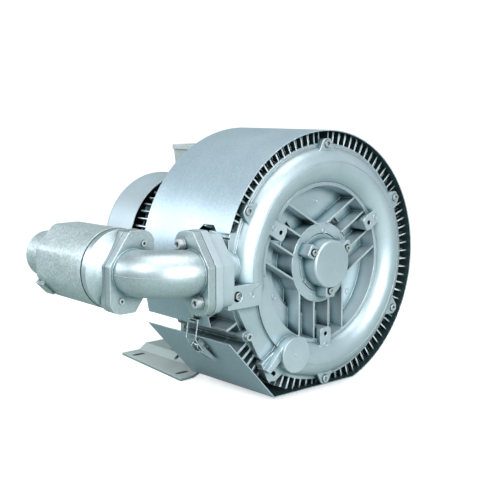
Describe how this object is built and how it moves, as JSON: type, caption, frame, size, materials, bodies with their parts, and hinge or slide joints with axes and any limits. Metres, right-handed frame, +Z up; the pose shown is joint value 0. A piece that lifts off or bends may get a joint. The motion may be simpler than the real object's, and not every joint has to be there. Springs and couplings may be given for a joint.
{
  "type": "side channel blower",
  "caption": "Side channel blower with a direct-drive motor, finned castings in a wrap-around hood with a toggle latch, port elbows, silencers and a bent base plate.",
  "frame": {"origin": "on the floor, midway between the two front slots of the base plate", "axes": "+Z up, +Y along the shaft from the blower's front cover to the motor's fan, +X to the right as seen from the front cover"},
  "size_m": [1.036, 0.663, 0.573],
  "materials": {
    "cast_aluminium": "satin as-cast",
    "port_aluminium": "satin as-cast",
    "silencer_aluminium": "satin",
    "hood_sheet": "satin",
    "motor_paint": "satin",
    "shield_iron": "satin painted",
    "cowl_paint": "satin",
    "box_paint": "satin",
    "screw_steel": "zinc plated",
    "latch_steel": "polished",
    "shaft_steel": "ground",
    "lamination_steel": "dull",
    "winding_copper": "lacquered",
    "gasket_fibre": "matte",
    "seal_rubber": "matte",
    "liner_fibre": "matte",
    "tube_steel": "zinc plated",
    "base_paint": "powder coat",
    "foot_iron": "painted",
    "fan_plastic": "matte",
    "board_plastic": "matte",
    "gland_plastic": "matte"
  },
  "bodies": {
    "casing": {"base_plate": "base_paint", "bearing_cap": "cast_aluminium", "bearing_cap_screws": "screw_steel", "cable_gland": "gland_plastic", "cowl_screws": "screw_steel", "fan_cowl": "cowl_paint", "flange_screws": "screw_steel", "foot_bolts": "screw_steel", "front_bearing_outer": "shaft_steel", "front_housing": "cast_aluminium", "hood": "hood_sheet", "housing_screws": "screw_steel", "latch_base": "latch_steel", "latch_catch": "latch_steel", "latch_pin": "latch_steel", "latch_rivets": "latch_steel", "left_elbow": "port_aluminium", "left_silencer_barrel": "silencer_aluminium", "left_silencer_head": "port_aluminium", "left_silencer_liner": "liner_fibre", "left_silencer_tube": "tube_steel", "lid_screws": "screw_steel", "middle_housing": "cast_aluminium", "motor_foot": "foot_iron", "motor_frame": "motor_paint", "motor_screws": "screw_steel", "port_gaskets": "gasket_fibre", "rear_bearing_outer": "shaft_steel", "rear_housing": "cast_aluminium", "rear_shield": "shield_iron", "right_elbow": "port_aluminium", "right_silencer_barrel": "silencer_aluminium", "right_silencer_head": "port_aluminium", "right_silencer_liner": "liner_fibre", "right_silencer_tube": "tube_steel", "shaft_seal": "seal_rubber", "stator_core": "lamination_steel", "stator_windings": "winding_copper", "terminal_board": "board_plastic", "terminal_box": "box_paint", "terminal_box_lid": "box_paint", "wave_spring": "shaft_steel"},
    "rotor": {"rotor_shaft": "shaft_steel", "rotor_core": "lamination_steel", "front_impeller": "cast_aluminium", "rear_impeller": "cast_aluminium", "impeller_spacer": "shaft_steel", "impeller_key": "shaft_steel", "shaft_nut": "shaft_steel", "hub_sleeve": "shaft_steel", "front_bearing_inner": "shaft_steel", "front_bearing_balls": "shaft_steel", "rear_bearing_inner": "shaft_steel", "rear_bearing_balls": "shaft_steel", "cooling_fan": "fan_plastic"},
    "latch_lever": {"latch_lever": "latch_steel"},
    "latch_bail": {"latch_bail": "latch_steel"}
  },
  "joints": [
    {"name": "rotor_spin", "type": "hinge", "parent": "casing", "child": "rotor", "pos_m": [0, -0.1, 0.288], "axis": [0, 1, 0], "continuous": true},
    {"name": "latch_lever_turn", "type": "hinge", "parent": "casing", "child": "latch_lever", "pos_m": [-0.27138, -0.214, 0.13257], "axis": [0, 1, 0], "range_deg": [0, 150]},
    {"name": "latch_bail_turn", "type": "hinge", "parent": "latch_lever", "child": "latch_bail", "pos_m": [-0.26899, -0.214, 0.1239], "axis": [0, 1, 0], "range_deg": [-150, 0]}
  ],
  "couplings": [
    {"joint": "latch_bail_turn", "follows": "latch_lever_turn", "ratio": -1}
  ]
}
